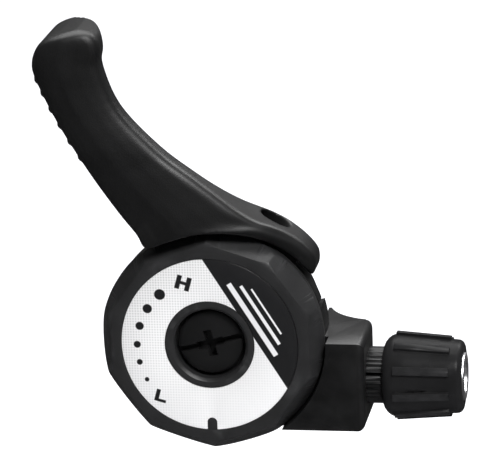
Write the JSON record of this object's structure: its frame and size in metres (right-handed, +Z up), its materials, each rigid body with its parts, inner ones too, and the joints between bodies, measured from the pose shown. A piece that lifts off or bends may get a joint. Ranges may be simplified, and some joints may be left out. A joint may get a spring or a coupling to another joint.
{
  "type": "thumb shifter",
  "caption": "Left-hand friction thumb shifter with a curved lever, round dial, barrel cable adjuster and a split clamp for a handlebar.",
  "frame": {"origin": "centre of the handlebar clamp's bore", "axes": "+X along the handlebar, towards the cable adjuster; the dial faces -Y; +Z up, from the bar towards the lever's pivot"},
  "size_m": [0.0672, 0.0577, 0.0745],
  "materials": {
    "base_plastic": "satin black nylon with a fine moulded grain",
    "lever_plastic": "satin black nylon with a fine moulded grain",
    "cap_plastic": "satin black moulded plastic",
    "knob_plastic": "semi-gloss black moulded plastic",
    "label_film": "printed white and black film",
    "liner_rubber": "matt",
    "acetal": "natural acetal",
    "steel": "zinc-plated",
    "black_steel": "black oxide",
    "chrome": "bright plated"
  },
  "bodies": {
    "base": {"base_housing": "base_plastic", "clamp_liner": "liner_rubber", "pivot_bushing": "steel", "pivot_nut": "steel", "lower_glide_washer": "acetal", "upper_glide_washer": "acetal", "keyed_washer": "steel", "wave_washer": "steel", "pressure_washer": "steel", "dial_cap": "cap_plastic", "dial_label": "label_film", "centre_screw": "black_steel", "adjuster_collar": "black_steel", "clamp_bolt": "chrome", "clamp_washer": "chrome", "clamp_nut": "steel"},
    "lever": {"thumb_lever": "lever_plastic", "lever_sleeve": "acetal"},
    "adjuster_slide": {"adjuster_spring": "steel"},
    "adjuster": {"adjuster_barrel": "chrome", "adjuster_knob": "knob_plastic"}
  },
  "joints": [
    {"name": "lever_turn", "type": "hinge", "parent": "base", "child": "lever", "pos_m": [0, -0.0209, 0.008], "axis": [0, -1, 0], "range_deg": [0, 110]},
    {"name": "adjuster_travel", "type": "slide", "parent": "base", "child": "adjuster_slide", "axis": [1, 0, 0], "range_m": [-0.0012, 0.004], "deforming": ["adjuster_spring"]},
    {"name": "adjuster_turn", "type": "hinge", "parent": "adjuster_slide", "child": "adjuster", "pos_m": [0.0362, -0.0209, 0.0005], "axis": [1, 0, 0], "range_deg": [-540, 1800]}
  ],
  "couplings": [
    {"joint": "adjuster_turn", "follows": "adjuster_travel", "rad_per_m": 7853.9}
  ]
}
